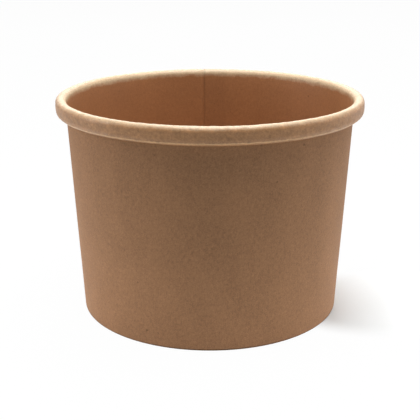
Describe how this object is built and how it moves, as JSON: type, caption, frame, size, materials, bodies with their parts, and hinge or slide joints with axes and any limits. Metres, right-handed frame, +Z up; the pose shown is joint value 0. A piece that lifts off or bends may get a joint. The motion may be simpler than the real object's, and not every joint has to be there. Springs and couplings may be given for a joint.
{
  "type": "paper ice cream tub",
  "caption": "Open round tub of plain kraft paperboard: slightly tapered wrapped wall, rolled rim, lapped side seam and a recessed bottom disc held in the folded foot.",
  "frame": {"origin": "centre of the foot, on the plane the tub stands on", "axes": "+Z up along the tub's axis, towards the open rim; +Y towards the side seam"},
  "size_m": [0.098, 0.098, 0.07],
  "materials": {
    "kraft_board": "brown kraft board, matt and fibrous outside, with a thin satin food coating inside"
  },
  "bodies": {
    "root": {"side_wall": "kraft_board", "base_disc": "kraft_board"}
  },
  "joints": []
}
